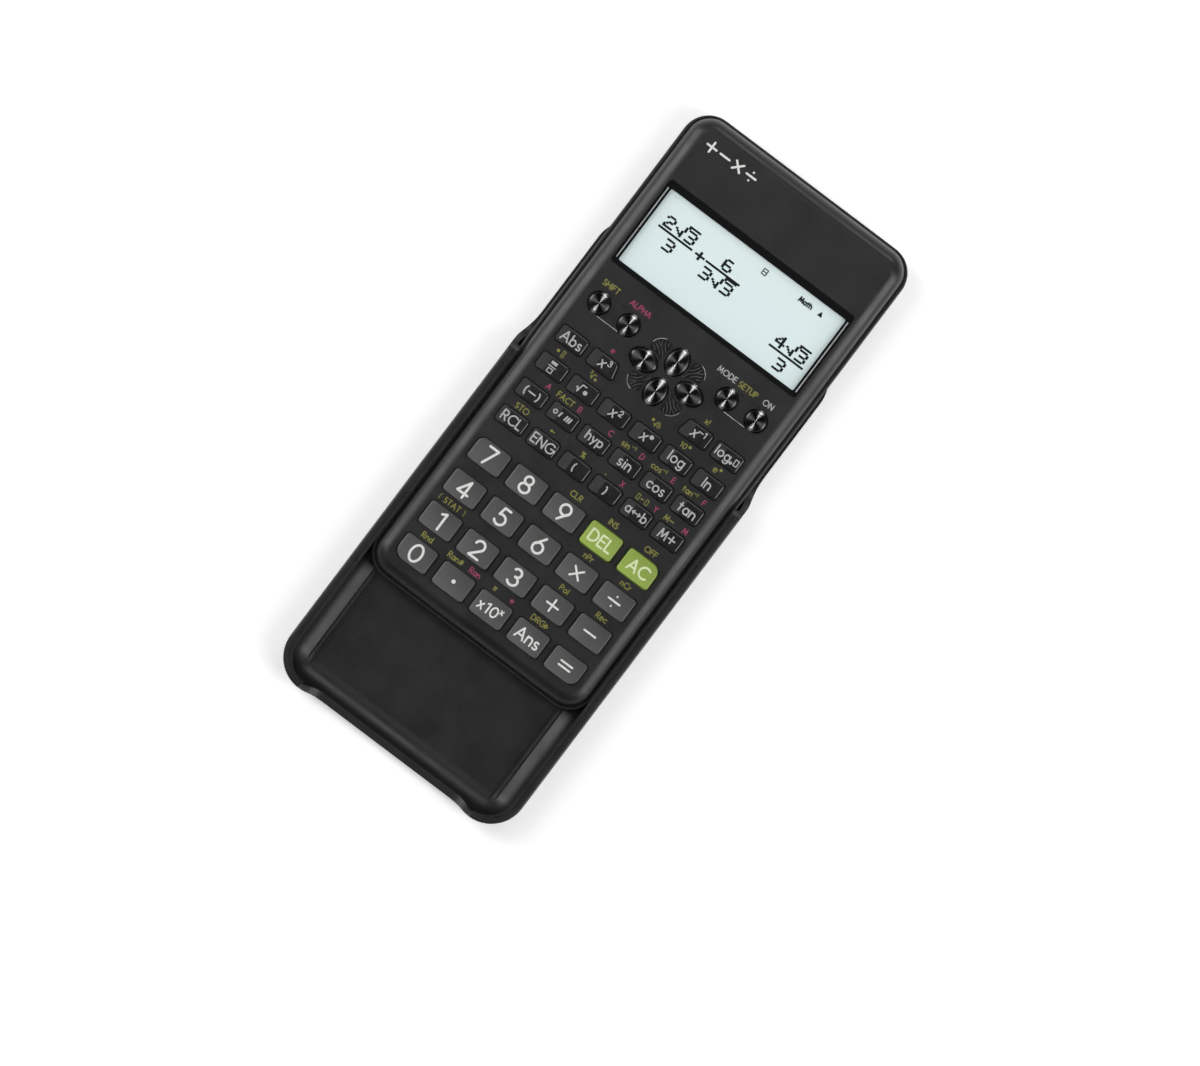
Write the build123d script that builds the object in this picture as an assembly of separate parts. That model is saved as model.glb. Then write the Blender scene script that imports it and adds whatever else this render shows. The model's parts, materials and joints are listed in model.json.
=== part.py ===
from build123d import *

import math
import os

# A pocket scientific calculator with a hard cover that slides along its side flange. The cover sits behind the
# calculator, drawn part of the way out past its lower end. Units are millimetres. +Z points out of the key face,
# +Y towards the display end and +X to the right of someone reading it. The origin is the centre of the calculator's
# footprint, on the plane the cover rests on.

# ---- driving dimensions ----
CALC_WIDTH = 77.0
CALC_LENGTH = 161.5
CALC_THICKNESS = 13.8
FLANGE_CORNER_R = 8.5

COVER_WIDTH = 82.0
COVER_LENGTH = 165.5
COVER_FLOOR = 1.4
COVER_WALL = 1.7
COVER_RIM_Z = 11.5
COVER_OVERHANG = 39.75  # how far the cover stands out past the calculator's lower end

BACK_Z = 2.0  # the calculator's back, 0.6 above the cover's inner floor
FACE_SLOPE = 0.9 / 80.0  # the key face rises towards the display end
FACE_Z = 14.4  # height of the key face at the origin

WALL = 1.5
FACE_WALL = 1.6
KEY_GAP = 0.3
KEY_TRAVEL = 1.0

# ---- heights and outlines that follow from them ----
FLANGE_BOTTOM_Z = 7.9
SPLIT_Z = 9.9  # top of the flange, where front and rear housings meet
SIDE_STEP = 1.2  # flange to front housing, at the sides
END_STEP = 0.7  # flange to front housing, at the ends
REAR_STEP = 1.3  # flange to rear housing, all round
SEAM_WIDTH = 0.35  # open groove in the flange along the foot of the front housing
SEAM_DEPTH = 0.5
FRONT_TAPER = 8.0  # degrees the front housing's walls lean in
FACE_EDGE_R = 4.0
BACK_EDGE_R = 4.5

BOARD_Z = 6.9
BOARD_THICKNESS = 1.6
SHEET_Z = BOARD_Z + BOARD_THICKNESS
SHEET_THICKNESS = 0.6
DOME_TOP_Z = 10.2
STEM_Z = DOME_TOP_Z + 0.1

COVER_END_Y = -CALC_LENGTH / 2 - COVER_OVERHANG
COVER_OPEN_Y = COVER_END_Y + COVER_LENGTH
COVER_CORNER_R = 10.8
COVER_OPEN_R = 12.0
COVER_EDGE_R = 8.0
COVER_INNER_R = 7.5
LIP_Z = 10.3
LIP_INNER_X = 38.0
LIP_END_DEPTH = 2.2
LOW_WALL_Z = 3.25
NOTCH_Z = 4.6
NOTCH_X = (21.5, 26.9, 30.4)  # half width of the thumb notch at its floor, part way up and at the rim
RUNNER_X = (31.7, 33.3)
RUNNER = (0.45, 157.0, 0.42)  # width, length, height above the floor
RIM_GROOVE_WIDTH = 0.325
RIM_GROOVE_DEPTH = 0.25

WINDOW = (65.4, 28.8, 43.8)  # width, height, centre Y
APERTURE = (61.9, 25.2, 43.6)
LEDGE_Z = 13.4
WINDOW_THICKNESS = 1.2

CELL_R = 5.25
CELL_LENGTH = 44.5
CELL_Y = 68.6
CELL_Z = 8.45
BAY = (CELL_LENGTH + 5.6, 2 * CELL_R + 1.6)  # the opening round the cell
BAY_WALL = 1.2
DOOR_THICKNESS = 0.78

SCREW_SPOTS = [(31.0, 70.0), (-31.0, 70.0), (19.8, -29.2), (-19.8, -29.2), (19.8, -75.8), (-19.8, -75.8)]
SCREW_R = 0.8
SCREW_HEAD_R = 1.6
SCREW_HEAD_Z = 3.9
BOSS_R = 1.8
BOSS_Z = 6.1
POST_R = 2.9

# ---- key layout: name, centre x, centre y ----
DIGIT_SIZE = (10.75, 7.45)
DIGIT_PITCH = (13.22, 11.44)
DIGIT_TOP_Y = -35.6
DIGIT_ROWS = [
    ["key_digit_7", "key_digit_8", "key_digit_9", "key_delete", "key_all_clear"],
    ["key_digit_4", "key_digit_5", "key_digit_6", "key_multiply", "key_divide"],
    ["key_digit_1", "key_digit_2", "key_digit_3", "key_plus", "key_minus"],
    ["key_digit_0", "key_decimal_point", "key_exponent", "key_answer", "key_equals"],
]
# The four outer keys of the digit block are rounder at one corner: x side, y side, radius.
DIGIT_ROUND_CORNER = {
    "key_digit_7": (-1, 1, 2.2),
    "key_all_clear": (1, 1, 2.8),
    "key_digit_0": (-1, -1, 3.0),
    "key_equals": (1, -1, 2.8),
}
FUNCTION_SIZE = (9.0, 5.2)
FACET_X = -1.5  # left of this, a function key's top slopes down
FACET_SLOPE = 5.0  # degrees
FUNCTION_PITCH = (11.0, 9.4)
FUNCTION_TOP_Y = 4.75
FUNCTION_ROWS = [
    ["key_absolute", "key_cube", None, None, "key_reciprocal", "key_log_base"],
    ["key_fraction", "key_square_root", "key_square", "key_power", "key_log", "key_natural_log"],
    ["key_negate", "key_degrees", "key_hyperbolic", "key_sine", "key_cosine", "key_tangent"],
    ["key_recall", "key_engineering", "key_bracket_open", "key_bracket_close", "key_decimal_fraction",
     "key_memory_plus"],
]
# The two function keys beside the cursor rosette lean away from it: the side that leans.
LEANING_KEYS = {"key_cube": 1, "key_reciprocal": -1}
LEAN = (0.5, 0.8)  # how far that side moves out at the foot and in at the top
ROUND_KEYS = {"key_shift": -27.7, "key_alpha": -17.4, "key_mode": 17.4, "key_on": 27.7}
ROUND_Y = 17.8
ROUND_R = 3.15
CURSOR_Y = 12.5
CURSOR_KEYS = {  # offset from the cursor centre, half width, half height
    "key_cursor_up": (0.0, 5.15, 3.15, 4.1),
    "key_cursor_down": (0.0, -5.15, 3.15, 4.1),
    "key_cursor_left": (-8.0, 0.0, 4.25, 3.0),
    "key_cursor_right": (8.0, 0.0, 4.25, 3.0),
}
PETAL = (5.3, 4.9, 3.7)  # the cursor rosette's diagonal petals: x, y and radius
RECESS_DEPTH = 0.45

DIGIT_PROUD = 1.4
FUNCTION_PROUD = 1.2
FLANGE_WIDER = 0.7
FLANGE_THICKNESS = 0.8
STEM_R = 1.2
KEY_DISH_R = 70.0
KEY_DISH_DEPTH = 0.16

os.makedirs("parts", exist_ok=True)


def face_z(y):
    """Height of the sloping key face at y."""
    return FACE_Z + FACE_SLOPE * y


def slab(width, length, z0, z1, radius=0.0, centre=(0.0, 0.0)):
    """An upright block with rounded vertical edges."""
    outline = RectangleRounded(width, length, radius) if radius else Rectangle(width, length)
    return Pos(centre[0], centre[1], z0) * extrude(outline, z1 - z0)


def disc(x, y, z0, z1, radius):
    """An upright cylinder."""
    return Pos(x, y, z0) * extrude(Circle(radius), z1 - z0)


def under_face(depth, reach=200.0):
    """Everything below the key face moved down by depth."""
    block = Pos(0, 0, -reach / 2) * Box(reach, reach, reach)
    tilt = math.degrees(math.atan(FACE_SLOPE))
    return Pos(0, 0, FACE_Z - depth) * Rot(tilt, 0, 0) * block


def key_table():
    """Every key as name: (kind, x, y)."""
    keys = {}
    for row, names in enumerate(DIGIT_ROWS):
        for column, name in enumerate(names):
            keys[name] = ("digit", (column - 2) * DIGIT_PITCH[0], DIGIT_TOP_Y - row * DIGIT_PITCH[1])
    for row, names in enumerate(FUNCTION_ROWS):
        for column, name in enumerate(names):
            if name:
                keys[name] = ("function", (column - 2.5) * FUNCTION_PITCH[0],
                              FUNCTION_TOP_Y - row * FUNCTION_PITCH[1])
    for name, x in ROUND_KEYS.items():
        keys[name] = ("round", x, ROUND_Y)
    for name, (dx, dy, _, _) in CURSOR_KEYS.items():
        keys[name] = ("cursor", dx, CURSOR_Y + dy)
    return keys


def key_outline(name, kind, grow=0.0):
    """The plan outline of a key about its own centre, grown all round by grow."""
    if kind == "round":
        return Circle(ROUND_R + grow)
    if kind == "cursor":
        _, _, half_x, half_y = CURSOR_KEYS[name]
        return Ellipse(half_x + grow, half_y + grow)
    size = DIGIT_SIZE if kind == "digit" else FUNCTION_SIZE
    half_x, half_y = size[0] / 2, size[1] / 2
    side_x, side_y, big = DIGIT_ROUND_CORNER.get(name, (0, 0, 0.0))
    leaning = LEANING_KEYS.get(name, 0)
    corners = []
    for across, up in ((-1, -1), (1, -1), (1, 1), (-1, 1)):
        lean = 0.0
        if across == leaning:
            lean = LEAN[0] if up < 0 else -LEAN[1]
        corners.append((across * (half_x + lean), up * half_y))
    outline = make_face(Polyline(corners, close=True))
    for corner in outline.vertices():
        special = corner.X * side_x > 0 and corner.Y * side_y > 0
        found = [v for v in outline.vertices() if (v.center() - corner.center()).length < 1e-6]
        outline = fillet(found, big if special else 0.9)
    return offset(outline, grow) if grow else outline


def make_key(name, kind, x, y):
    """One hard key cap: the cap through the face, its flange under the face and the stem on the dome."""
    proud = DIGIT_PROUD if kind == "digit" else FUNCTION_PROUD
    top_z = face_z(y) + proud
    flange_z = face_z(y) - FACE_WALL - 0.15
    cap = Pos(0, 0, flange_z - 0.1) * extrude(key_outline(name, kind), top_z - flange_z + 0.1)
    rim = cap.faces().sort_by(Axis.Z)[-1].edges()
    if kind == "digit":
        cap = fillet(rim, 0.45)
        cap -= Pos(0, 0, top_z + KEY_DISH_R - KEY_DISH_DEPTH) * Rot(90, 0, 0) * Cylinder(KEY_DISH_R, 30)
    elif kind == "function":
        cap = fillet(rim, 0.5)
        cap -= Pos(FACET_X, 0, top_z) * Rot(0, -FACET_SLOPE, 0) * Pos(-10, 0, 5) * Box(20, 20, 10)
    else:
        cap = fillet(rim, 0.7)
    flange = Pos(0, 0, flange_z - FLANGE_THICKNESS) * extrude(
        key_outline(name, kind, 0.45 if kind == "cursor" else FLANGE_WIDER), FLANGE_THICKNESS)
    stem = disc(0, 0, STEM_Z, flange_z, STEM_R)
    return Pos(x, y, 0) * (cap + flange + stem)


def make_front_cover(keys):
    """The upper housing: a tapered shell with the key holes, window seat and screw bosses."""
    width = CALC_WIDTH - 2 * SIDE_STEP
    length = CALC_LENGTH - 2 * END_STEP
    corner = FLANGE_CORNER_R - SIDE_STEP
    height = 7.0
    outer = Pos(0, 0, SPLIT_Z) * extrude(RectangleRounded(width, length, corner), height, taper=FRONT_TAPER)
    outer &= under_face(0.0)
    outer = fillet(outer.faces().sort_by(Axis.Z)[-1].edges(), FACE_EDGE_R)
    inner = Pos(0, 0, SPLIT_Z - 0.5) * extrude(
        RectangleRounded(width - 2 * WALL, length - 2 * WALL, corner - WALL), height, taper=FRONT_TAPER)
    inner &= under_face(FACE_WALL)
    inner = fillet(inner.faces().sort_by(Axis.Z)[-1].edges(), 2.0)
    cover = outer - inner

    # locating lip inside the rear housing's wall
    seam = 2 * (REAR_STEP + WALL + 0.3)
    lip_corner = FLANGE_CORNER_R - seam / 2
    opening = slab(CALC_WIDTH - seam - 2.0, CALC_LENGTH - seam - 2.0, SPLIT_Z - 2, SPLIT_Z + 2, lip_corner - 1.0)
    lip = slab(CALC_WIDTH - seam, CALC_LENGTH - seam, SPLIT_Z - 1.0, SPLIT_Z + 0.6, lip_corner)
    ring = slab(width - 1.0, length - 1.0, SPLIT_Z, SPLIT_Z + 0.6, corner - 0.5)
    cover += (lip + ring) - opening

    # seat for the display window
    seat = slab(WINDOW[0] + 3.4, WINDOW[1] + 3.4, LEDGE_Z - 1.0, LEDGE_Z + 0.8, 1.6, (0, WINDOW[2]))
    cover += seat
    cover -= slab(WINDOW[0] + 0.2, WINDOW[1] + 0.2, LEDGE_Z, 20, 1.3, (0, WINDOW[2]))
    cover -= slab(APERTURE[0], APERTURE[1], 5, 20, 0.6, (0, APERTURE[2]))

    # shallow wells around the round keys and the cursor rosette
    for low, high in ((ROUND_KEYS["key_shift"], ROUND_KEYS["key_alpha"]),
                      (ROUND_KEYS["key_mode"], ROUND_KEYS["key_on"])):
        well = slab(high - low + 2 * ROUND_R + 0.9, 2 * ROUND_R + 0.9, face_z(ROUND_Y) - RECESS_DEPTH, 20,
                    ROUND_R + 0.4, ((low + high) / 2, ROUND_Y))
        cover -= well
    rosette = Sketch()
    for _, (dx, dy, half_x, half_y) in CURSOR_KEYS.items():
        rosette += Pos(dx, dy) * Ellipse(half_x + 0.5, half_y + 0.5)
    for side_x in (-1, 1):
        for side_y in (-1, 1):
            rosette += Pos(side_x * PETAL[0], side_y * PETAL[1]) * Circle(PETAL[2])
    rosette += Circle(4.0)
    cover -= Pos(0, CURSOR_Y, face_z(CURSOR_Y) - RECESS_DEPTH) * extrude(rosette, 5)

    # key holes
    for name, (kind, x, y) in keys.items():
        hole = Pos(x, y, face_z(y) - FACE_WALL - 2.0) * extrude(key_outline(name, kind, KEY_GAP), 8)
        cover -= hole

    # screw bosses, and a hollow over the cell
    for x, y in SCREW_SPOTS:
        cover += disc(x, y, BOSS_Z, face_z(y) - 1.0, BOSS_R)
        cover -= disc(x, y, BOSS_Z - 1, BOSS_Z + 4.4, SCREW_R + 0.02)
    cover -= Pos(0, CELL_Y, CELL_Z) * Rot(0, 90, 0) * Cylinder(CELL_R + 0.25, CELL_LENGTH + 5.0)
    return cover


def make_rear_cover():
    """The lower housing: a tray with the flange the slide cover runs on, the cell bay and screw posts."""
    width = CALC_WIDTH - 2 * REAR_STEP
    length = CALC_LENGTH - 2 * REAR_STEP
    corner = FLANGE_CORNER_R - REAR_STEP
    outer = slab(width, length, BACK_Z, FLANGE_BOTTOM_Z + 0.5, corner)
    outer = fillet(outer.faces().sort_by(Axis.Z)[0].edges(), BACK_EDGE_R)
    flange = slab(CALC_WIDTH, CALC_LENGTH, FLANGE_BOTTOM_Z, SPLIT_Z, FLANGE_CORNER_R)
    flange = fillet(flange.faces().sort_by(Axis.Z)[0].edges() + flange.faces().sort_by(Axis.Z)[-1].edges(), 0.4)
    inner = slab(width - 2 * WALL, length - 2 * WALL, BACK_Z + 1.4, SPLIT_Z + 1, corner - WALL)
    inner = fillet(inner.faces().sort_by(Axis.Z)[0].edges(), 3.2)
    cover = (outer + flange) - inner

    # seam groove round the foot of the front housing
    foot = (CALC_WIDTH - 2 * SIDE_STEP, CALC_LENGTH - 2 * END_STEP, FLANGE_CORNER_R - SIDE_STEP)
    groove = slab(foot[0] + 2 * SEAM_WIDTH, foot[1] + 2 * SEAM_WIDTH, SPLIT_Z - SEAM_DEPTH, SPLIT_Z + 1,
                  foot[2] + SEAM_WIDTH)
    groove -= slab(foot[0] - 2 * SEAM_WIDTH, foot[1] - 2 * SEAM_WIDTH, 0, 20, foot[2] - SEAM_WIDTH)
    cover -= groove

    # cell bay: walls round the cell, and the opening the door closes
    bay = slab(BAY[0] + 2 * BAY_WALL, BAY[1] + 2 * BAY_WALL + 0.2, BACK_Z + 0.2, 7.6, 1.0, (0, CELL_Y))
    bay -= slab(*BAY, BACK_Z - 1, 9, 0.6, (0, CELL_Y))
    cover += bay & slab(200, length - 2 * WALL + 1.0, 0, 20)
    cover -= slab(*BAY, BACK_Z - 1, 4.2, 0.6, (0, CELL_Y))
    cover -= slab(BAY[0] + 1.4, BAY[1] + 1.4, BACK_Z - 1, BACK_Z + DOOR_THICKNESS + 0.02, 1.2, (0, CELL_Y))

    # posts the screws pass through, with their counterbores in the back
    for x, y in SCREW_SPOTS:
        cover += disc(x, y, BACK_Z + 0.8, BOSS_Z - 0.1, POST_R) & outer
        cover -= disc(x, y, BACK_Z - 1, SCREW_HEAD_Z, SCREW_HEAD_R + 0.3)
        cover -= disc(x, y, BACK_Z - 1, BOSS_Z + 1, SCREW_R + 0.25)

    # ribs the circuit board rests on
    for x in (-33.2, 33.2):
        for y in (-62.0, -12.0, 38.0):
            cover += slab(1.2, 16.0, BACK_Z + 1.0, BOARD_Z - 0.05, 0, (x, y))
    return cover


def make_slide_cover():
    """The hard cover: a channel with in-turned lips, one closed end with a thumb notch and one open end."""
    half = COVER_WIDTH / 2
    beyond = 40.0
    length = COVER_LENGTH + beyond
    middle = COVER_END_Y + length / 2
    outer = slab(COVER_WIDTH, length, 0, COVER_RIM_Z, COVER_CORNER_R, (0, middle))
    outer = fillet(outer.faces().sort_by(Axis.Z)[0].edges(), COVER_EDGE_R)
    outer = fillet(outer.faces().sort_by(Axis.Z)[-1].edges(), 0.6)
    cavity = slab(COVER_WIDTH - 2 * COVER_WALL, length - 2 * COVER_WALL, COVER_FLOOR, LIP_Z,
                  COVER_CORNER_R - COVER_WALL, (0, middle))
    cavity = fillet(cavity.faces().sort_by(Axis.Z)[0].edges(), COVER_INNER_R)
    mouth = slab(2 * LIP_INNER_X, length - 2 * LIP_END_DEPTH, LIP_Z - 1, COVER_RIM_Z + 1, 8.2, (0, middle))
    cover = outer - cavity - mouth

    # cut the open end square with rounded corners
    keep = slab(2 * half + 2, COVER_LENGTH + 30, -1, 30, 0, (0, COVER_OPEN_Y - COVER_LENGTH / 2 - 15))
    cover &= keep
    low_half = half - (COVER_EDGE_R - math.sqrt(COVER_EDGE_R**2 - (COVER_EDGE_R - LOW_WALL_Z) ** 2))
    trim = slab(2 * half + 4, 2 * COVER_OPEN_R, -1, 30, 0, (0, COVER_OPEN_Y))
    trim -= slab(2 * low_half, 6 * COVER_OPEN_R, -2, 31, COVER_OPEN_R, (0, COVER_OPEN_Y - 3 * COVER_OPEN_R))
    cover -= trim

    # side walls drop towards the open end
    start, rise, full = 6.5, -2.4, -8.0
    curve = Spline((start, LOW_WALL_Z), (rise, 6.6), (full, COVER_RIM_Z), tangents=[(-1, 0), (-1, 0.15)])
    closed = Polyline((full, COVER_RIM_Z), (full, 20), (90, 20), (90, LOW_WALL_Z), (start, LOW_WALL_Z))
    profile = make_face(Curve() + [curve, closed])
    cover -= extrude(Plane.YZ * profile, 60, both=True)

    # thumb notch in the closed end
    foot, waist, top = NOTCH_X
    sides = []
    for side in (-1, 1):
        sides.append(Spline((side * foot, NOTCH_Z), (side * waist, NOTCH_Z + 1.0), (side * top, COVER_RIM_Z),
                            tangents=[(side, 0), (side * 0.2, 1)]))
    outline = Curve() + sides
    outline += [Line((-foot, NOTCH_Z), (foot, NOTCH_Z)),
                Polyline((-top, COVER_RIM_Z), (-top, 20), (top, 20), (top, COVER_RIM_Z))]
    notch = extrude(Plane.XZ * make_face(outline), 8.0, both=True)
    cover -= Pos(0, COVER_END_Y, 0) * notch

    # a fine groove along the top of the rim
    step = COVER_WALL - 0.05
    groove = slab(COVER_WIDTH - 2 * step, length - 2 * step, COVER_RIM_Z - RIM_GROOVE_DEPTH, 20,
                  COVER_CORNER_R - step, (0, middle))
    step += RIM_GROOVE_WIDTH
    groove -= slab(COVER_WIDTH - 2 * step, length - 2 * step, 0, 21, COVER_CORNER_R - step, (0, middle))
    cover -= groove

    # two fine runners along each side of the floor
    width, reach, height = RUNNER
    for x in RUNNER_X:
        for side in (-1, 1):
            cover += slab(width, reach, COVER_FLOOR - 0.3, COVER_FLOOR + height, 0,
                          (side * x, COVER_OPEN_Y - reach / 2 - 1.0))
    return cover


def make_display_window():
    """The clear window, with polished bevels round its upper edge."""
    window = slab(WINDOW[0], WINDOW[1], LEDGE_Z + 0.02, LEDGE_Z + WINDOW_THICKNESS, 1.2, (0, WINDOW[2]))
    return chamfer(window.faces().sort_by(Axis.Z)[-1].edges(), 0.25)


def make_lcd_panel():
    """The liquid crystal cell: a front glass, and a longer rear glass that carries the contacts."""
    front = slab(67.0, 29.6, 11.2, 12.2, 0, (0, 43.6))
    rear = slab(67.0, 32.4, 10.3, 11.2, 0, (0, 42.2))
    return front + rear


def make_dome_sheet(keys):
    """One rubber sheet with a hollow dome under each key."""
    sheet = slab(66.0, 97.5, SHEET_Z + 0.02, SHEET_Z + SHEET_THICKNESS, 2.0, (0, -26.5))
    for x, y in SCREW_SPOTS:
        sheet -= disc(x, y, 0, 20, BOSS_R + 0.4)
    base_z = SHEET_Z + SHEET_THICKNESS
    rise = DOME_TOP_Z - base_z
    dome = Pos(0, 0, base_z + rise / 2 - 0.05) * Cone(2.1, 1.5, rise + 0.1)
    hollow = Pos(0, 0, base_z + rise / 2 - 0.7) * Cone(1.7, 1.1, rise + 0.4)
    spots = [Pos(x, y, 0) for _, x, y in keys.values()]
    sheet += [spot * dome for spot in spots]
    sheet -= [spot * hollow for spot in spots]
    return sheet


def make_circuit_board():
    """The loaded board: laminate, driver chip under its resin, crystal, contact strip and cell contacts."""
    board = slab(68.6, 132.0, BOARD_Z, SHEET_Z, 5.0, (0, -10.0))
    for x, y in SCREW_SPOTS:
        board -= disc(x, y, 0, 20, BOSS_R + 0.4)
    resin = fillet(disc(0, 40, BOARD_Z - 1.2, BOARD_Z - 0.01, 5.0).faces().sort_by(Axis.Z)[0].edges(), 0.9)
    crystal = slab(6.0, 2.0, BOARD_Z - 1.6, BOARD_Z - 0.01, 0.6, (-14, 34))
    capacitor = disc(14, 34, BOARD_Z - 2.8, BOARD_Z - 0.01, 2.0)
    strip = slab(60.0, 2.0, SHEET_Z + 0.01, 10.28, 0, (0, 27.6))
    half = CELL_LENGTH / 2
    plate = slab(0.4, 8.6, 4.4, 11.2, 0, (half + 1.9, CELL_Y))
    button = Pos(half + 1.2, CELL_Y, CELL_Z) * Rot(0, 90, 0) * Cylinder(2.0, 1.0)
    far_plate = slab(0.4, 8.6, 4.4, 11.2, 0, (-half - 1.9, CELL_Y))
    spring = Pos(-half - 0.9, CELL_Y, CELL_Z) * Rot(0, 90, 0) * Cone(1.8, 3.2, 1.6)
    return [board, resin, crystal, capacitor, strip, plate + button, far_plate + spring]


def make_battery():
    """One slim dry cell, with its terminal nub towards +X."""
    can = Pos(-0.4, CELL_Y, CELL_Z) * Rot(0, 90, 0) * Cylinder(CELL_R, CELL_LENGTH - 0.8)
    can = fillet(can.edges().filter_by(GeomType.CIRCLE), 0.5)
    nub = Pos(CELL_LENGTH / 2 - 0.6, CELL_Y, CELL_Z) * Rot(0, 90, 0) * Cylinder(1.9, 1.0)
    return can + nub


def make_battery_door():
    """The flush door over the cell, with a rim that fits its opening and grip ribs."""
    plate = slab(BAY[0] + 1.1, BAY[1] + 1.1, BACK_Z, BACK_Z + DOOR_THICKNESS, 1.1, (0, CELL_Y))
    rim = slab(BAY[0] - 0.4, BAY[1] - 0.4, BACK_Z + 0.5, BACK_Z + DOOR_THICKNESS + 0.32, 0.5, (0, CELL_Y))
    door = plate + rim
    for step in range(5):
        door -= slab(0.6, 8.0, BACK_Z - 1, BACK_Z + 0.3, 0, (CELL_LENGTH / 2 - step * 1.4, CELL_Y))
    return door


def make_screws():
    """Six identical pan-head screws, driven from the back."""
    screws = []
    for x, y in SCREW_SPOTS:
        head = disc(x, y, SCREW_HEAD_Z - 1.3, SCREW_HEAD_Z - 0.02, SCREW_HEAD_R)
        head = fillet(head.faces().sort_by(Axis.Z)[0].edges(), 0.5)
        shank = disc(x, y, SCREW_HEAD_Z - 0.1, BOSS_Z + 4.0, SCREW_R)
        slots = slab(1.8, 0.45, 0, SCREW_HEAD_Z - 0.7, 0, (x, y)) + slab(0.45, 1.8, 0, SCREW_HEAD_Z - 0.7, 0, (x, y))
        screws.append(head + shank - slots)
    return screws


def write(name, shape):
    """Writes one node, of one or more solids."""
    export_step(Compound(children=shape) if isinstance(shape, list) else shape, f"parts/{name}.step")


KEYS = key_table()
for key_name, (key_kind, key_x, key_y) in KEYS.items():
    write(key_name, make_key(key_name, key_kind, key_x, key_y))
write("front_cover", make_front_cover(KEYS))
write("rear_cover", make_rear_cover())
write("slide_cover", make_slide_cover())
write("display_window", make_display_window())
write("lcd_panel", make_lcd_panel())
write("dome_sheet", make_dome_sheet(KEYS))
write("circuit_board", make_circuit_board())
write("battery", make_battery())
write("battery_door", make_battery_door())
write("screws", make_screws())
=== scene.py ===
import json
import math

import bmesh
import bpy
from mathutils import Matrix, Vector
from mathutils.bvhtree import BVHTree


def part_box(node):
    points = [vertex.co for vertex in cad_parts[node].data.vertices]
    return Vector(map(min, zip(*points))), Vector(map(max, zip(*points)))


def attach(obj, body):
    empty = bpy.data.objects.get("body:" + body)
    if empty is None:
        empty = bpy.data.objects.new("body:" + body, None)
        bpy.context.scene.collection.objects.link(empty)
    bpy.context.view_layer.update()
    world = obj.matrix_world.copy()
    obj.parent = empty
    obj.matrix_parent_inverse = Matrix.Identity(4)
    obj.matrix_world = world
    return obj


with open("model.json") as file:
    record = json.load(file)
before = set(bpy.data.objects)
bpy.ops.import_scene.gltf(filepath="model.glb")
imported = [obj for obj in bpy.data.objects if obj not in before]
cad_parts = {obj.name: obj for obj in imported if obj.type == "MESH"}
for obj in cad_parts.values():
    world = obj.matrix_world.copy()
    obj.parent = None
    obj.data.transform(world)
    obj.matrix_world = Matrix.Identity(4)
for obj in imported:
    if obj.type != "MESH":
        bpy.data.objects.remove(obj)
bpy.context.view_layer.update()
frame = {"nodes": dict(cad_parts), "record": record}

# A pocket scientific calculator and its slide-on cover. Printing, legends and small relief are laid out in
# millimetres, in the row's frame, and scaled to metres when they become meshes. Colours are linear.
MM = 0.001

INK = {
    "white": (0.78, 0.78, 0.76),
    "silver": (0.46, 0.46, 0.45),
    "pale": (0.74, 0.82, 0.50),
    "yellow": (0.27, 0.26, 0.055),
    "pink": (0.36, 0.050, 0.13),
}


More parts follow.
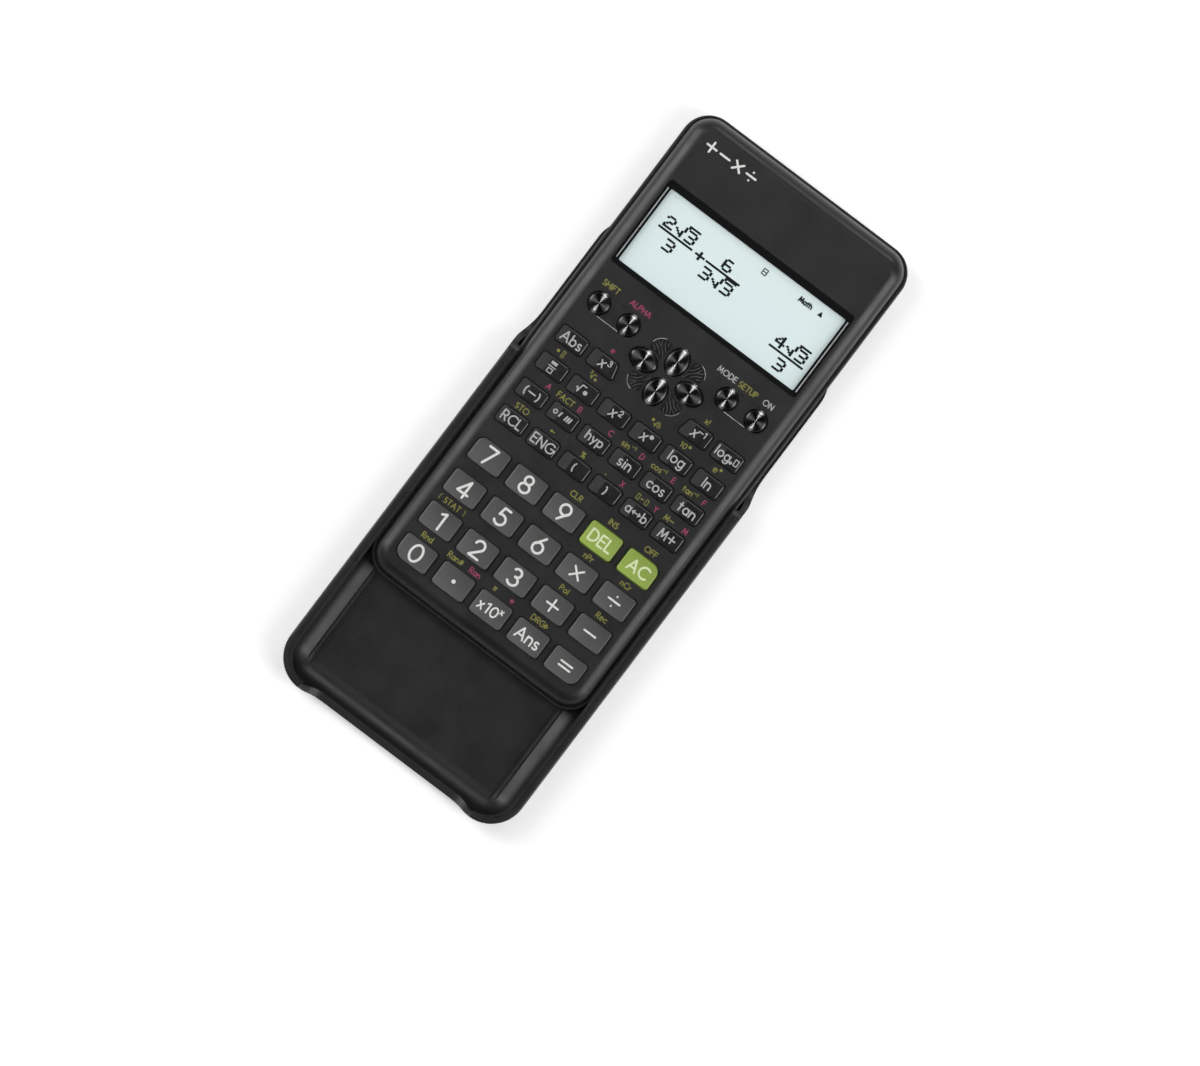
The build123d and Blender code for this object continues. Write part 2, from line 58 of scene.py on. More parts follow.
# ---------------------------------------------------------------- node graphs
class Graph:
    """A material under construction: short calls that add and link shader nodes."""

    def __init__(self, name):
        self.material = bpy.data.materials.new(name)
        self.material.use_nodes = True
        self.tree = self.material.node_tree
        self.tree.nodes.clear()
        self.output = self.add("ShaderNodeOutputMaterial")
        self.place = self.add("ShaderNodeTexCoord").outputs["Object"]

    def add(self, kind, **settings):
        """A new node with its properties set."""
        node = self.tree.nodes.new(kind)
        for key, value in settings.items():
            setattr(node, key, value)
        return node

    def put(self, socket, value):
        """Links another node's output to an input, or sets the input's own value; None leaves it alone."""
        if isinstance(value, bpy.types.NodeSocket):
            self.tree.links.new(value, socket)
        elif value is not None:
            if isinstance(value, tuple) and len(value) == 3 and socket.type == "RGBA":
                value = (*value, 1.0)
            socket.default_value = value

    def math(self, operation, a, b=None):
        node = self.add("ShaderNodeMath", operation=operation)
        self.put(node.inputs[0], a)
        self.put(node.inputs[1], b)
        return node.outputs[0]

    def vector(self, operation, a, b=None):
        node = self.add("ShaderNodeVectorMath", operation=operation)
        self.put(node.inputs[0], a)
        self.put(node.inputs[1], b)
        return node.outputs["Value" if operation in ("LENGTH", "DOT_PRODUCT") else "Vector"]

    def noise(self, size_mm, detail=2.0, stretch=(1, 1, 1), roughness=0.5):
        """Noise from 0 to 1 whose features are about size_mm across."""
        mapping = self.add("ShaderNodeMapping")
        self.put(mapping.inputs["Vector"], self.place)
        mapping.inputs["Scale"].default_value = stretch
        node = self.add("ShaderNodeTexNoise")
        self.put(node.inputs["Vector"], mapping.outputs[0])
        node.inputs["Scale"].default_value = 1.0 / (size_mm * MM)
        node.inputs["Detail"].default_value = detail
        node.inputs["Roughness"].default_value = roughness
        return node.outputs["Fac"]

    def cells(self, size_mm):
        """Distance to the nearest of scattered points, which are about size_mm apart."""
        node = self.add("ShaderNodeTexVoronoi")
        self.put(node.inputs["Vector"], self.place)
        node.inputs["Scale"].default_value = 1.0 / (size_mm * MM)
        return node.outputs["Distance"]

    def span(self, value, low, high, to_low=0.0, to_high=1.0):
        """value mapped from low..high to to_low..to_high, and held there outside it."""
        node = self.add("ShaderNodeMapRange")
        self.put(node.inputs[0], value)
        for index, number in enumerate((low, high, to_low, to_high)):
            self.put(node.inputs[index + 1], number)
        return node.outputs[0]

    def blend(self, factor, a, b):
        """Colour a where factor is 0, and b where it is 1."""
        node = self.add("ShaderNodeMix", data_type="RGBA")
        self.put(node.inputs["Factor"], factor)
        self.put(node.inputs["A"], a)
        self.put(node.inputs["B"], b)
        return node.outputs["Result"]

    def bump(self, height, depth_mm):
        """A normal for relief that is depth_mm deep where height goes from 0 to 1."""
        node = self.add("ShaderNodeBump")
        self.put(node.inputs["Height"], height)
        node.inputs["Distance"].default_value = depth_mm * MM
        node.inputs["Strength"].default_value = 1.0
        return node.outputs[0]

    def edge(self, radius_mm=0.35):
        """1 on worn outer edges, 0 on flats."""
        rounded = self.add("ShaderNodeBevel", samples=4)
        rounded.inputs["Radius"].default_value = radius_mm * MM
        flat = self.add("ShaderNodeNewGeometry").outputs["Normal"]
        turn = self.vector("DOT_PRODUCT", rounded.outputs[0], flat)
        return self.span(turn, 0.999, 0.90)

    def centre(self):
        """The centre of the node that wears the material."""
        node = self.add("ShaderNodeAttribute", attribute_type="OBJECT", attribute_name="centre")
        return node.outputs["Vector"]

    def plastic(self, **inputs):
        """A principled shader; inputs are named with _ for spaces."""
        shader = self.add("ShaderNodeBsdfPrincipled")
        for key, value in inputs.items():
            self.put(shader.inputs[key.replace("_", " ")], value)
        return shader.outputs[0]

    def finish(self, shader):
        """Closes the graph with its surface shader and returns the material."""
        self.put(self.output.inputs["Surface"], shader)
        return self.material


def scaled(colour, amount):
    """A colour made darker or lighter."""
    return tuple(channel * amount for channel in colour)


def moulded(name, colour, roughness, grain_mm=0.28, grain_depth=0.018, edge_wear_and_highlight=0.25, shading=0.0):
    """Injection-moulded plastic: spark texture, faint mottling, lighter rubbed edges, hairline scuffs and,
    where shading is set, painted light and shade across a key cap.
    """
    g = Graph(name)
    grain = g.noise(grain_mm, 3.0)
    mottle = g.noise(9.0, 4.0)
    scuff = g.span(g.noise(0.9, 2.0, (1.0, 0.06, 1.0)), 0.68, 0.78)
    # Lighter rubbed edges: real rubbing, and where the amount is high, as on the grey keys and the petal
    # ridges, partly a painted highlight along the rims.
    worn = g.math("MULTIPLY", g.edge(), g.span(g.noise(2.2, 3.0), 0.38, 0.66))
    base = g.blend(mottle, scaled(colour, 0.88), scaled(colour, 1.12))
    base = g.blend(g.span(g.cells(0.42), 0.0, 0.22, 0.25, 0.0), base, scaled(colour, 1.9))
    base = g.blend(g.math("MULTIPLY", worn, edge_wear_and_highlight), base, scaled(colour, 2.6))
    rough = g.span(mottle, 0.3, 0.7, roughness - 0.05, roughness + 0.06)
    rough = g.math("SUBTRACT", rough, g.math("MULTIPLY", worn, 0.12))
    rough = g.math("SUBTRACT", rough, g.math("MULTIPLY", scuff, 0.08))
    normal = g.bump(grain, grain_depth)
    return g.finish(g.plastic(Base_Color=painted_key_shade(g, base, shading), Roughness=rough, Normal=normal,
                              Specular_IOR_Level=0.5))


PAINTED_SHADE_REACH = 5.5  # mm from a key's centre to the ends of its painted light and shade
PAINTED_SHADE_LEAN = 0.6  # how much of the painted shading runs from left to right, where 1 runs from bottom to top


def painted_key_shade(g, base, amount):
    """Painted light and shade: pales a key cap towards its lower left and deepens it towards its upper right.
    """
    if not amount:
        return base
    split = g.add("ShaderNodeSeparateXYZ")
    g.put(split.inputs[0], g.vector("SUBTRACT", g.place, g.centre()))
    across = g.math("ADD", g.math("MULTIPLY", split.outputs["X"], PAINTED_SHADE_LEAN), split.outputs["Y"])
    painted_shade = g.add("ShaderNodeHueSaturation")
    g.put(painted_shade.inputs["Color"], base)
    g.put(painted_shade.inputs["Value"], g.span(across, -PAINTED_SHADE_REACH * MM, PAINTED_SHADE_REACH * MM, 1.0 + amount, 1.0 - amount))
    return painted_shade.outputs["Color"]


def polished(name, colour, roughness):
    """Gloss plastic with faint handling marks and a slight orange peel."""
    g = Graph(name)
    smudge = g.noise(3.5, 4.0)
    rough = g.span(smudge, 0.35, 0.7, roughness, roughness + 0.10)
    base = g.blend(smudge, scaled(colour, 0.85), scaled(colour, 1.25))
    base = g.blend(g.math("MULTIPLY", g.edge(0.25), 0.10), base, scaled(colour, 2.5))
    normal = g.bump(g.noise(1.4, 2.0), 0.004)
    return g.finish(g.plastic(Base_Color=base, Roughness=rough, Normal=normal, Coat_Weight=0.2,
                              Coat_Roughness=0.12))


RING_PITCH = 0.10  # mm between the turned rings of a spun cap
PAINTED_STREAK_POWER = 44.0  # the higher, the narrower the painted highlight that runs up and down a spun cap
PAINTED_WING_POWER = 3.0
PAINTED_WING_LEVEL = 0.05  # the faint painted highlight across the cap
PAINTED_HIGHLIGHT_COLOUR = (0.95, 0.95, 0.95)


def spun(name, colour):
    """Dark caps turned in fine rings about their own centres, with a bow-tie highlight painted into their
    colour on top of their real shine.
    """
    g = Graph(name)
    offset = g.vector("SUBTRACT", g.place, g.centre())
    flat = g.vector("MULTIPLY", offset, (1.0, 1.0, 0.0))
    outward = g.vector("NORMALIZE", flat)
    radius = g.vector("LENGTH", flat)
    ring = g.add("ShaderNodeTexNoise", noise_dimensions="1D")
    g.put(ring.inputs["W"], radius)
    ring.inputs["Scale"].default_value = 1.0 / (RING_PITCH * MM)
    ring.inputs["Detail"].default_value = 3.0
    rings = ring.outputs["Fac"]
    split = g.add("ShaderNodeSeparateXYZ")
    g.put(split.inputs[0], outward)
    upright = g.math("ABSOLUTE", split.outputs["Y"])
    # Painted highlight: a bright bow tie up and down the cap and a faint band across it, laid into the base
    # colour.
    painted_streak = g.math("POWER", upright, PAINTED_STREAK_POWER)
    painted_wings = g.math("MULTIPLY", g.math("POWER", g.math("SUBTRACT", 1.0, upright), PAINTED_WING_POWER), PAINTED_WING_LEVEL)
    sheen = g.math("ADD", painted_streak, painted_wings)
    ringed = g.blend(rings, scaled(colour, 0.5), scaled(colour, 1.6))
    base = g.blend(sheen, ringed, PAINTED_HIGHLIGHT_COLOUR)
    rough = g.span(rings, 0.3, 0.7, 0.19, 0.25)
    return g.finish(g.plastic(Base_Color=base, Metallic=1.0, Roughness=rough, Anisotropic=1.0,
                              Tangent=outward, Normal=g.bump(rings, 0.001)))


def clear_sheet(name):
    """Clear polished plastic that lets light through to what it covers."""
    g = Graph(name)
    facing = g.add("ShaderNodeLayerWeight")
    facing.inputs["Blend"].default_value = 0.5
    graze = g.math("POWER", facing.outputs["Facing"], 5.0)
    front = g.math("SUBTRACT", 1.0, g.add("ShaderNodeNewGeometry").outputs["Backfacing"])
    rim = g.math("MULTIPLY", g.span(graze, 0.0, 1.0, 0.04, 1.0), front)
    shine = g.add("ShaderNodeBsdfGlossy")
    g.put(shine.inputs["Roughness"], g.span(g.noise(6.0, 3.0), 0.3, 0.8, 0.01, 0.05))
    through = g.add("ShaderNodeBsdfTransparent")
    g.put(through.inputs["Color"], (0.975, 0.985, 0.985))
    mix = g.add("ShaderNodeMixShader")
    g.put(mix.inputs[0], rim)
    g.put(mix.inputs[1], through.outputs[0])
    g.put(mix.inputs[2], shine.outputs[0])
    return g.finish(mix.outputs[0])


DOT_PITCH = (0.62, 0.505)  # mm between the display's dots, across and down
# Painted light: the display glows to lift it out of the shade under the window.
PAINTED_DISPLAY_LIGHT = 0.14


def liquid_crystal(name):
    """Pale reflective display: a soft gradient, paper-like reflector grain, a faint dot grid and a painted
    glow that brightens it as though more light reached it under the window.
    """
    g = Graph(name)
    split = g.add("ShaderNodeSeparateXYZ")
    g.put(split.inputs[0], g.place)
    low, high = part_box("lcd_panel")
    down = g.span(split.outputs["Y"], low.y, high.y)
    grid = g.math("MULTIPLY", dot_wave(g, split.outputs["X"], DOT_PITCH[0]),
                  dot_wave(g, split.outputs["Y"], DOT_PITCH[1]))
    base = g.blend(down, (0.78, 0.875, 0.880), (0.82, 0.905, 0.895))
    base = g.blend(g.span(g.noise(0.25, 2.0), 0.3, 0.7, 0.0, 0.10), base, (0.66, 0.78, 0.77))
    base = g.blend(g.math("MULTIPLY", grid, 0.08), base, (0.56, 0.68, 0.68))
    return g.finish(g.plastic(Base_Color=base, Roughness=0.42, Coat_Weight=0.4, Coat_Roughness=0.08,
                              Emission_Color=base, Emission_Strength=PAINTED_DISPLAY_LIGHT))


def dot_wave(g, coordinate, pitch):
    """1 on the display's dots along one direction and 0 between them."""
    cycle = g.math("MULTIPLY", coordinate, 2.0 * math.pi / (pitch * MM))
    return g.span(g.math("COSINE", cycle), -0.7, -0.3)


def printed(name, colour, roughness=0.5, level=0.4):
    """Printing ink: slightly uneven cover and a fine tooth."""
    g = Graph(name)
    patch = g.noise(0.6, 4.0)
    base = g.blend(g.span(patch, 0.35, 0.75), colour, scaled(colour, 0.80))
    rough = g.span(patch, 0.3, 0.7, roughness - 0.06, roughness + 0.08)
    return g.finish(g.plastic(Base_Color=base, Roughness=rough, Specular_IOR_Level=level,
                              Normal=g.bump(g.noise(0.12, 2.0), 0.004)))


def rubbery(name, colour):
    """Moulded silicone with dust and a soft sheen."""
    g = Graph(name)
    dust = g.noise(2.5, 5.0)
    base = g.blend(dust, scaled(colour, 0.8), scaled(colour, 1.15))
    return g.finish(g.plastic(Base_Color=base, Roughness=0.72, Subsurface_Weight=0.05, Sheen_Weight=0.2,
                              Normal=g.bump(g.noise(0.2, 3.0), 0.01)))


TRACK_RATE = 2600.0  # radians to a metre: a track every 2.4 mm


def laminate(name, colour):
    """Circuit board: solder mask over woven glass with paler tracks."""
    g = Graph(name)
    split = g.add("ShaderNodeSeparateXYZ")
    g.put(split.inputs[0], g.place)
    tracks = g.span(g.math("SINE", g.math("MULTIPLY", split.outputs["X"], TRACK_RATE)), 0.55, 0.75)
    broken = g.math("MULTIPLY", tracks, g.span(g.noise(14.0, 1.0), 0.48, 0.52))
    base = g.blend(g.math("MULTIPLY", broken, 0.7), colour, scaled(colour, 2.2))
    return g.finish(g.plastic(Base_Color=base, Roughness=0.3, Normal=g.bump(broken, 0.02)))


def metal(name, colour, roughness):
    """Plated or drawn metal with fine drawing lines and dull patches."""
    g = Graph(name)
    lines = g.noise(0.25, 3.0, (0.05, 1.0, 1.0))
    patch = g.noise(3.0, 4.0)
    base = g.blend(patch, scaled(colour, 0.8), scaled(colour, 1.1))
    rough = g.span(patch, 0.3, 0.7, roughness - 0.08, roughness + 0.15)
    return g.finish(g.plastic(Base_Color=base, Metallic=1.0, Roughness=rough, Normal=g.bump(lines, 0.004)))


# Materials by the material slot that a CAD node names in the record.
MATERIALS = {
    "face_plastic": moulded("face_plastic", (0.0085, 0.0086, 0.0088), 0.36),
    "rear_plastic": moulded("rear_plastic", (0.0085, 0.0086, 0.0088), 0.42),
    "cover_plastic": moulded("cover_plastic", (0.0050, 0.0051, 0.0053), 0.38, 0.34, 0.022),
    "window": clear_sheet("window"),
    "lcd_glass": liquid_crystal("lcd_glass"),
    "dome_rubber": rubbery("dome_rubber", (0.42, 0.42, 0.40)),
    "board": laminate("board", (0.02, 0.13, 0.05)),
    "cell_jacket": metal("cell_jacket", (0.20, 0.24, 0.34), 0.28),
    "screw_steel": metal("screw_steel", (0.42, 0.42, 0.43), 0.34),
    # Grey and green keys: the last value paints light on each cap's lower left and shade on its upper right;
    # the grey keys' strong rubbed edges are partly a painted highlight on their rims.
    "key_grey": moulded("key_grey", (0.068, 0.069, 0.067), 0.42, 0.22, 0.008, 0.45, shading=0.34),
    "key_green": moulded("key_green", (0.262, 0.370, 0.060), 0.40, 0.22, 0.008, 0.12, shading=0.12),
    "key_black": polished("key_black", (0.0085, 0.0088, 0.0100), 0.16),
}
SPUN_PAINTED_HIGHLIGHT = spun("spun_black_painted_highlight", (0.036, 0.036, 0.037))
PRINT = {name: printed("ink_" + name, colour) for name, colour in INK.items()}
BORDER = printed("border_print", (0.0015, 0.0020, 0.0020), 0.6, 0.1)
SEGMENT = printed("lcd_dot", (0.006, 0.009, 0.012), 0.6, 0.2)
# Bright metal paint standing in for light: the painted reflections on the lens edges and the painted
# highlights round the petals and under the round-key pairs.
GLINT_PAINT = metal("trim_line", (0.62, 0.62, 0.63), 0.35)
# The petal ridges are coloured and edged lighter than the face as a painted highlight on their crests.
RIDGE_GLINT_PAINT = moulded("petal_relief_painted_glint", (0.055, 0.055, 0.056), 0.24, 0.3, 0.004, 0.8)
PETAL_GROUND = polished("petal_ground", (0.0022, 0.0022, 0.0024), 0.20)


# ---------------------------------------------------------------- CAD nodes
ROUND_KEYS = ("key_shift", "key_alpha", "key_mode", "key_on")
SMOOTH_BELOW = math.radians(32.0)  # edges that turn less than this are shaded smooth


def smooth(node):
    """Shades curved faces smooth and keeps real edges sharp."""
    bpy.context.view_layer.objects.active = node
    for other in bpy.context.selected_objects:
        other.select_set(False)
    node.select_set(True)
    bpy.ops.object.shade_smooth_by_angle(angle=SMOOTH_BELOW)


def dress_nodes():
    """Gives every CAD node its material, the centre that its material reads, and its shading."""
    slots = {part["node"]: part["material_slot"] for part in frame["record"]["subparts"]}
    for name, node in frame["nodes"].items():
        material = MATERIALS[slots[name]]
        if name.startswith("key_cursor") or name in ROUND_KEYS:
            material = SPUN_PAINTED_HIGHLIGHT
        node.data.materials.clear()
        node.data.materials.append(material)
        low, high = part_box(name)
        node["centre"] = tuple((low + high) / 2)
        smooth(node)


dress_nodes()


# ---------------------------------------------------------------- lettering
ARC_STEP = 18  # degrees to a straight stretch
ARC_LEAST = 4  # stretches in the shortest arc


def arc(cx, cy, rx, ry, start, end):
    """Points of an ellipse's arc, in degrees, anticlockwise when end is above start."""
    steps = max(ARC_LEAST, int(abs(end - start) / ARC_STEP))
    points = []
    for i in range(steps + 1):
        angle = math.radians(start + (end - start) * i / steps)
        points.append((cx + rx * math.cos(angle), cy + ry * math.sin(angle)))
    return points


# One-weight sign-writing letters: width and strokes, for a capital one unit high. Signs go by the nearest
# character: * is times, / is divide, ~ a small pi, < an arrow to the left and > a triangle.
GLYPHS = {
    "0": (0.68, [arc(.34, .5, .34, .5, 0, 360)]),
    "1": (0.42, [[(.06, .86), (.32, 1), (.32, 0)]]),
    "2": (0.62, [arc(.31, .70, .29, .30, 170, -28) + [(.02, 0), (.64, 0)]]),
    "3": (0.60, [arc(.28, .76, .25, .24, 150, -90), arc(.28, .27, .31, .27, 90, -150)]),
    "4": (0.70, [[(.50, 0), (.50, 1), (.02, .25), (.70, .25)]]),
    "5": (0.62, [[(.56, 1), (.18, 1), (.10, .56)] + arc(.29, .31, .32, .31, 110, -150)]),
    "6": (0.64, [[(.46, 1), (.08, .46)] + arc(.32, .31, .31, .31, 150, 510)]),
    "7": (0.62, [[(.02, 1), (.62, 1), (.18, 0)]]),
    "8": (0.62, [arc(.31, .76, .24, .24, 0, 360), arc(.31, .27, .31, .27, 0, 360)]),
    "9": (0.64, [[(.18, 0), (.56, .54)] + arc(.32, .69, .31, .31, -30, 330)]),
    "A": (0.80, [[(0, 0), (.40, 1), (.80, 0)], [(.14, .32), (.66, .32)]]),
    "B": (0.56, [[(0, 0), (0, 1), (.28, 1)] + arc(.28, .76, .22, .24, 90, -90) + [(0, .52)],
                 [(.28, .52)] + arc(.28, .26, .28, .26, 90, -90) + [(0, 0)]]),
    "C": (0.78, [arc(.50, .5, .50, .5, 50, 310)]),
    "D": (0.72, [[(0, 0), (0, 1), (.22, 1)] + arc(.22, .5, .50, .5, 90, -90) + [(0, 0)]]),
    "E": (0.50, [[(.50, 1), (0, 1), (0, 0), (.50, 0)], [(0, .53), (.46, .53)]]),
    "F": (0.48, [[(.48, 1), (0, 1), (0, 0)], [(0, .53), (.44, .53)]]),
    "G": (0.90, [arc(.50, .5, .50, .5, 50, 360) + [(.56, .5)]]),
    "H": (0.66, [[(0, 0), (0, 1)], [(.66, 0), (.66, 1)], [(0, .52), (.66, .52)]]),
    "I": (0.04, [[(.02, 0), (.02, 1)]]),
    "L": (0.46, [[(0, 1), (0, 0), (.46, 0)]]),
    "M": (0.86, [[(0, 0), (.12, 1), (.43, .18), (.74, 1), (.86, 0)]]),
    "N": (0.70, [[(0, 0), (0, 1), (.70, 0), (.70, 1)]]),
    "O": (1.00, [arc(.50, .5, .50, .5, 0, 360)]),
    "P": (0.54, [[(0, 0), (0, 1), (.26, 1)] + arc(.26, .74, .27, .26, 90, -90) + [(0, .48)]]),
    "R": (0.56, [[(0, 0), (0, 1), (.26, 1)] + arc(.26, .74, .27, .26, 90, -90) + [(0, .48)],
                 [(.24, .48), (.56, 0)]]),
    "S": (0.54, [arc(.28, .75, .24, .25, 50, 255) + arc(.27, .26, .27, .26, 80, -140)]),
    "T": (0.60, [[(0, 1), (.60, 1)], [(.30, 1), (.30, 0)]]),
    "U": (0.64, [[(0, 1)] + arc(.32, .32, .32, .32, 180, 360) + [(.64, 1)]]),
    "X": (0.66, [[(0, 0), (.64, 1)], [(.02, 1), (.66, 0)]]),
    "Y": (0.66, [[(0, 1), (.33, .48), (.66, 1)], [(.33, .48), (.33, 0)]]),
    "a": (0.56, [arc(.28, .32, .28, .32, 0, 360), [(.56, .64), (.56, 0)]]),
    "b": (0.56, [arc(.28, .32, .28, .32, 0, 360), [(0, 1), (0, 0)]]),
    "c": (0.48, [arc(.30, .32, .30, .32, 50, 310)]),
    "d": (0.56, [arc(.28, .32, .28, .32, 0, 360), [(.56, 1), (.56, 0)]]),
    "e": (0.58, [[(.03, .34), (.57, .34)] + arc(.29, .32, .29, .32, 5, 310)]),
    "g": (0.56, [arc(.28, .32, .28, .32, 0, 360), [(.56, .64)] + arc(.28, -.06, .28, .26, 0, -150)]),
    "h": (0.50, [[(0, 1), (0, 0)], arc(.25, .37, .25, .27, 180, 0) + [(.50, 0)]]),
    "i": (0.06, [[(.03, .64), (.03, 0)], [(.03, .90), (.03, .92)]]),
    "l": (0.04, [[(.02, 1), (.02, 0)]]),
    "n": (0.50, [[(0, .64), (0, 0)], arc(.25, .37, .25, .27, 180, 0) + [(.50, 0)]]),
    "o": (0.60, [arc(.30, .32, .30, .32, 0, 360)]),
    "p": (0.56, [arc(.28, .32, .28, .32, 0, 360), [(0, .64), (0, -.30)]]),
    "r": (0.30, [[(0, .64), (0, 0)], arc(.26, .36, .26, .27, 180, 75)]),
    "s": (0.38, [arc(.19, .48, .17, .16, 45, 255) + arc(.19, .16, .19, .16, 80, -140)]),
    "t": (0.36, [[(.16, .92), (.16, 0)], [(0, .64), (.34, .64)]]),
    "x": (0.50, [[(0, 0), (.48, .64)], [(.02, .64), (.50, 0)]]),
    "y": (0.52, [[(0, .64), (.27, .05)], [(.52, .64), (.14, -.28)]]),
    "+": (0.80, [[(0, .5), (.80, .5)], [(.40, .1), (.40, .9)]]),
    "-": (0.80, [[(0, .5), (.80, .5)]]),
    "*": (0.64, [[(0, .18), (.64, .82)], [(0, .82), (.64, .18)]]),
    "/": (0.80, [[(0, .5), (.80, .5)], [(.40, .82), (.40, .84)], [(.40, .16), (.40, .18)]]),
    "=": (0.80, [[(0, .64), (.80, .64)], [(0, .36), (.80, .36)]]),
    ",": (0.12, [[(.08, .06), (.02, -.14)]]),
    "(": (0.24, [arc(.40, .45, .38, .62, 130, 230)]),
    ")": (0.24, [arc(-.16, .45, .38, .62, 50, -50)]),
    "!": (0.06, [[(.03, 1), (.03, .34)], [(.03, .02), (.03, .04)]]),
    "#": (0.66, [[(.12, .08), (.26, .92)], [(.42, .08), (.56, .92)], [(.04, .34), (.62, .34)],
                 [(.06, .66), (.64, .66)]]),
    "%": (0.80, [[(.12, 0), (.68, 1)], arc(.18, .80, .17, .19, 0, 360), arc(.62, .20, .17, .19, 0, 360)]),
    "~": (0.60, [[(0, .60), (.60, .60)], [(.16, .60), (.12, 0)], [(.44, .60), (.46, 0)]]),
    "<": (0.80, [[(.80, .40), (0, .40)], [(.22, .58), (0, .40), (.22, .22)]]),
    ">": (0.50, [[(0, .84), (.46, .45), (0, .06), (0, .84)]]),
}
LETTER_SPACE = 0.25
STAGGER = 0.0025  # mm between the heights of overlapping strokes, so that their tops never coincide
STAGGER_COUNT = 7
PRINT_RISE = 0.025  # mm from the surface to the top of printing
PRINT_SINK = -0.04  # mm from the surface to its hidden underside
DROP_HEIGHT = 0.05  # metres: rays fall on the surface from here
FACE_HEIGHT = 0.014  # metres: the level taken where a ray finds nothing


class Print:
    """Flat printing gathered in millimetres, then laid on the surface below it as thin solid shapes."""

    def __init__(self):
        self.strokes = []
        self.fills = []

    def text(self, words, x, y, height, weight, slant=0.0):
        """Words centred on x, y, where height is a capital's height."""
        width = sum(GLYPHS[c][0] for c in words) + LETTER_SPACE * (len(words) - 1)
        pen = -width / 2
        for c in words:
            advance, strokes = GLYPHS[c]
            for stroke in strokes:
                points = [((pen + px + slant * py) * height + x, (py - 0.5) * height + y)
                          for px, py in stroke]
                self.strokes.append((points, weight))
            pen += advance + LETTER_SPACE
        return self

    def line(self, points, weight):
        """A stroke along points, weight wide."""
        self.strokes.append((points, weight))
        return self

    def box(self, x, y, width, height, weight=0.0):
        """A filled box, or with a weight its outline."""
        corners = rectangle(x, y, width / 2, height / 2)
        if weight:
            self.strokes.append((corners + corners[:1], weight))
        else:
            self.fills.append(corners)
        return self

    def lay(self, name, body, material, surface, lift_mm=PRINT_RISE):
        """Builds the mesh over surface, a CAD node's name, and rides it on body."""
        mesh = bmesh.new()
        count = 0
        for points, weight in self.strokes:
            for a, b in zip(points, points[1:]):
                count += 1
                prism(mesh, capsule(a, b, weight / 2), 0.0, 1.0 + count % STAGGER_COUNT)
        for corners in self.fills:
            prism(mesh, corners)
        tree = surface_tree(surface)
        for vertex in mesh.verts:
            start = Vector((vertex.co.x * MM, vertex.co.y * MM, DROP_HEIGHT))
            hit = tree.ray_cast(start, Vector((0, 0, -1)))[0]
            level = lift_mm + (vertex.co.z - 1.0) * STAGGER if vertex.co.z > 0.5 else PRINT_SINK
            vertex.co = Vector((start.x, start.y, (hit.z if hit else FACE_HEIGHT) + level * MM))
        return piece(name, mesh, material, body)


def rectangle(x, y, half_x, half_y):
    """Anticlockwise corners about x, y."""
    return [(x - half_x, y - half_y), (x + half_x, y - half_y),
            (x + half_x, y + half_y), (x - half_x, y + half_y)]


CAP_STEPS = 4  # straight stretches in a stroke's round end


def capsule(a, b, radius):
    """The outline of a stroke's straight stretch, with round ends."""
    ax, ay = a
    bx, by = b
    heading = math.atan2(by - ay, bx - ax)
    outline = []
    for (cx, cy), start in ((b, heading - math.pi / 2), (a, heading + math.pi / 2)):
        for i in range(CAP_STEPS + 1):
            angle = start + math.pi * i / CAP_STEPS
            outline.append((cx + radius * math.cos(angle), cy + radius * math.sin(angle)))
    return outline


def prism(mesh, outline, low=0.0, high=1.0):
    """A closed upright prism on an anticlockwise outline."""
    bottom = [mesh.verts.new((x, y, low)) for x, y in outline]
    top = [mesh.verts.new((x, y, high)) for x, y in outline]
    mesh.faces.new(bottom[::-1])
    mesh.faces.new(top)
    count = len(outline)
    for i in range(count):
        j = (i + 1) % count
        mesh.faces.new((bottom[i], bottom[j], top[j], top[i]))


TREES = {}


def surface_tree(name):
    """A ray-casting tree of a CAD node's mesh."""
    if name not in TREES:
        data = frame["nodes"][name].data
        TREES[name] = BVHTree.FromPolygons([v.co for v in data.vertices],
                                           [p.vertices for p in data.polygons])
    return TREES[name]


def piece(name, mesh, material, body):
    """Turns a bmesh in metres into a named piece that rides on a body."""
    data = bpy.data.meshes.new(name)
    mesh.to_mesh(data)
    mesh.free()
    data.materials.append(material)
    made = bpy.data.objects.new(name, data)
    bpy.context.scene.collection.objects.link(made)
    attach(made, body)
    return made


# ---------------------------------------------------------------- key legends
# Heights and stroke widths in mm. A legend function takes a Print and the centre of its key.
KEY_TEXT = 5.1
KEY_WEIGHT = 0.72
WORD_WEIGHT = 0.44
SIGN_TEXT = 4.8
SIGN_STROKE = 0.58
TAILED_WORDS = ("hyp", "log")
DESCENDER_RISE = 0.4  # words with a tail stand higher on their keys


def centre_of(key):
    """A key's centre, in mm."""
    low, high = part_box(key)
    return (low.x + high.x) / 2 / MM, (low.y + high.y) / 2 / MM


def root(p, x, y, size, weight):
    """A root sign whose bar ends at x + size."""
    return p.line([(x - size, y - size * .15), (x - size * .72, y), (x - size * .38, y - size), (x, y + size),
                   (x + size * 1.1, y + size)], weight)


def legend_fraction(p, x, y):
    """A filled box over an open one, with a bar between them."""
    p.box(x, y + 1.15, 1.9, 0.9).line([(x - 1.2, y), (x + 1.2, y)], 0.3).box(x, y - 1.25, 1.5, 1.2, 0.3)


def legend_root(p, x, y):
    """A root sign over a filled box."""
    root(p, x - 0.9, y, 1.2, 0.36)
    p.line([(x + 0.9, y - 0.35), (x + 0.95, y - 0.35)], 1.35)


